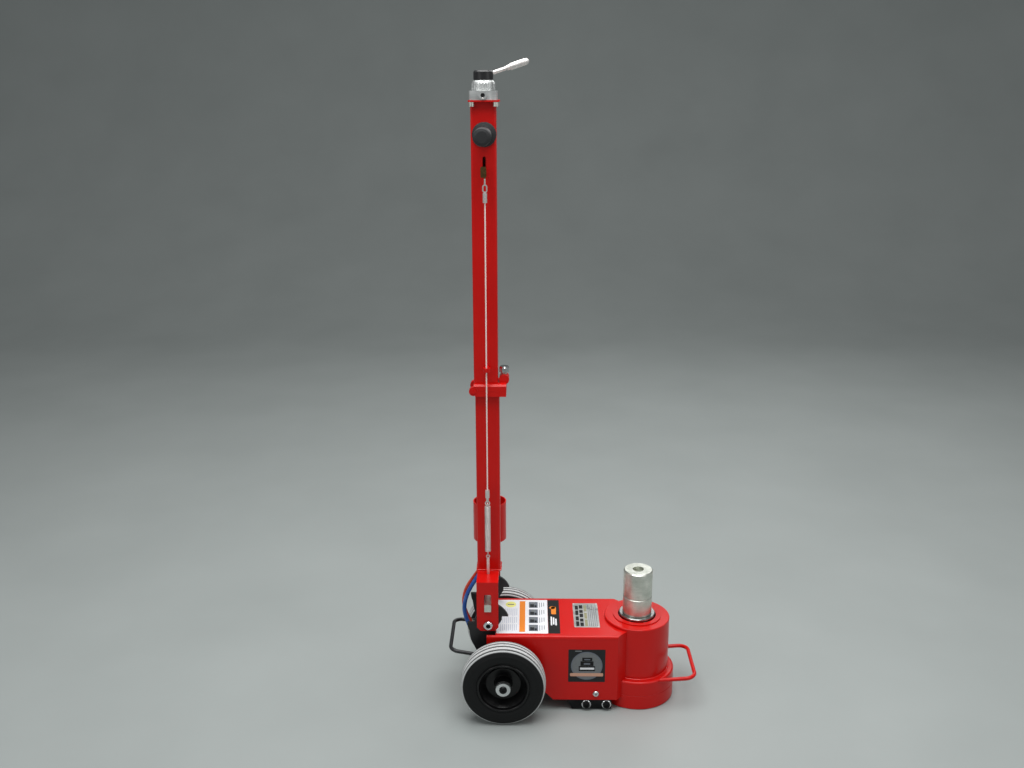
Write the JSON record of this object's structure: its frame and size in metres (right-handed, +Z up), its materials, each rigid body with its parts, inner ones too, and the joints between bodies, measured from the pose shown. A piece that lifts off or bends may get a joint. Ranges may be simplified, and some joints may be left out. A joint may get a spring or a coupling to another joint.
{
  "type": "air hydraulic trolley jack",
  "caption": "Air-hydraulic trolley jack with telescopic ram, stacking adapters, rear wheels and a folding, tilting steering handle with a release latch.",
  "frame": {"origin": "on the floor at the middle of the round foot, on the ram's axis", "axes": "+Z up along the ram, +X towards the jack's nose, away from the wheels and handle; +Y towards the side that carries the adapter cup"},
  "size_m": [0.6, 0.3464, 1.5053],
  "materials": {
    "red_paint": "gloss signal-red paint",
    "black_paint": "satin black paint",
    "rim_paint": "gloss black paint",
    "tyre_rubber": "solid black rubber tyre",
    "grip_plastic": "moulded black grip",
    "machined_steel": "turned steel",
    "zinc_plate": "bright zinc plate",
    "chrome_plate": "polished chrome",
    "black_oxide": "blackened steel",
    "cast_aluminium": "machined aluminium",
    "seal_rubber": "black seal rubber",
    "blue_hose": "blue air hose",
    "red_hose": "orange-red air hose",
    "pump_iron": "dark cast iron"
  },
  "bodies": {
    "chassis": {"base_plate": "red_paint", "base_collar": "red_paint", "cylinder_shell": "red_paint", "pressure_tube": "machined_steel", "cylinder_cap": "red_paint", "wiper_seal": "seal_rubber", "front_handle": "red_paint", "tank_shell": "red_paint", "frame_plates": "black_paint", "cross_plate": "black_paint", "axle": "machined_steel", "axle_washers": "chrome_plate", "axle_bolts": "black_oxide", "pivot_bolts": "chrome_plate", "rear_handle": "black_paint", "pump_block": "black_oxide", "side_plugs": "chrome_plate", "hose_fittings": "zinc_plate", "air_motor_cylinder": "pump_iron", "return_spring": "machined_steel", "hose_blue": "blue_hose", "hose_red": "red_hose"},
    "stage_1": {"ram_stage_1": "machined_steel", "piston_seal": "seal_rubber"},
    "stage_2": {"ram_stage_2": "machined_steel"},
    "stage_3": {"ram_stage_3": "machined_steel"},
    "low_adapter": {"adapter_short": "zinc_plate"},
    "high_adapter": {"adapter_tall": "zinc_plate"},
    "wheel_near": {"tyre_near": "tyre_rubber", "rim_near": "rim_paint", "bearings_near": "machined_steel"},
    "wheel_far": {"tyre_far": "tyre_rubber", "rim_far": "rim_paint", "bearings_far": "machined_steel"},
    "piston": {"air_piston": "cast_aluminium"},
    "handle_lower": {"yoke": "red_paint", "lower_tube": "red_paint", "lower_collar": "red_paint", "fold_pins": "red_paint", "adapter_cup": "red_paint", "air_lines_lower": "blue_hose", "release_cable": "zinc_plate"},
    "latch": {"latch_bar": "zinc_plate", "latch_rod": "zinc_plate", "latch_spring": "zinc_plate", "cable_crimp": "zinc_plate"},
    "handle_upper": {"upper_tube": "red_paint", "upper_collar": "red_paint", "air_lines_upper": "blue_hose", "t_bar": "machined_steel", "hand_grips": "grip_plastic", "head_bolts": "zinc_plate", "valve_block": "cast_aluminium", "bonnet": "cast_aluminium", "pin_washer": "zinc_plate"},
    "release": {"release_slider": "machined_steel", "release_bolt": "zinc_plate"},
    "control": {"selector_cap": "grip_plastic", "control_lever": "chrome_plate"},
    "lock_pin": {"lock_pin": "chrome_plate"}
  },
  "joints": [
    {"name": "ram_lift_1", "type": "slide", "parent": "chassis", "child": "stage_1", "axis": [0, 0, 1], "range_m": [0, 0.09]},
    {"name": "ram_lift_2", "type": "slide", "parent": "stage_1", "child": "stage_2", "axis": [0, 0, 1], "range_m": [0, 0.085]},
    {"name": "ram_lift_3", "type": "slide", "parent": "stage_2", "child": "stage_3", "axis": [0, 0, 1], "range_m": [0, 0.08]},
    {"name": "short_adapter_off", "type": "slide", "parent": "stage_3", "child": "low_adapter", "axis": [0, 0, 1], "range_m": [0, 0.04]},
    {"name": "tall_adapter_off", "type": "slide", "parent": "low_adapter", "child": "high_adapter", "axis": [0, 0, 1], "range_m": [0, 0.04]},
    {"name": "wheel_near_spin", "type": "hinge", "parent": "chassis", "child": "wheel_near", "pos_m": [-0.3237, -0.1375, 0.1], "axis": [0, 1, 0], "continuous": true},
    {"name": "wheel_far_spin", "type": "hinge", "parent": "chassis", "child": "wheel_far", "pos_m": [-0.3237, 0.1375, 0.1], "axis": [0, 1, 0], "continuous": true},
    {"name": "air_piston_stroke", "type": "slide", "parent": "chassis", "child": "piston", "axis": [1, 0, 0], "range_m": [0, 0.045], "stiffness_N_per_m": 500, "springref_m": -0.03, "deforming": ["return_spring"]},
    {"name": "handle_tilt", "type": "hinge", "parent": "chassis", "child": "handle_lower", "pos_m": [-0.36, 0, 0.224], "axis": [0, 1, 0], "range_deg": [-72, 0], "deforming": ["hose_blue", "hose_red"]},
    {"name": "latch_lift", "type": "slide", "parent": "handle_lower", "child": "latch", "axis": [0, 0, 1], "range_m": [0, 0.016]},
    {"name": "handle_fold", "type": "hinge", "parent": "handle_lower", "child": "handle_upper", "pos_m": [-0.391, 0, 0.783], "axis": [0, -1, 0], "range_deg": [0, 165], "deforming": ["release_cable"]},
    {"name": "release_pull", "type": "slide", "parent": "handle_upper", "child": "release", "axis": [0, 0, 1], "range_m": [0, 0.016]},
    {"name": "control_lever_turn", "type": "hinge", "parent": "handle_upper", "child": "control", "pos_m": [-0.3625, 0, 1.47], "axis": [0, 0, 1], "range_deg": [-35, 35], "stiffness_Nm_per_rad": 1},
    {"name": "lock_pin_pull", "type": "slide", "parent": "handle_upper", "child": "lock_pin", "axis": [0, 0, 1], "range_m": [0, 0.0125], "stiffness_N_per_m": 400, "springref_m": -0.01}
  ],
  "couplings": [
    {"joint": "latch_lift", "follows": "release_pull", "ratio": 1}
  ]
}
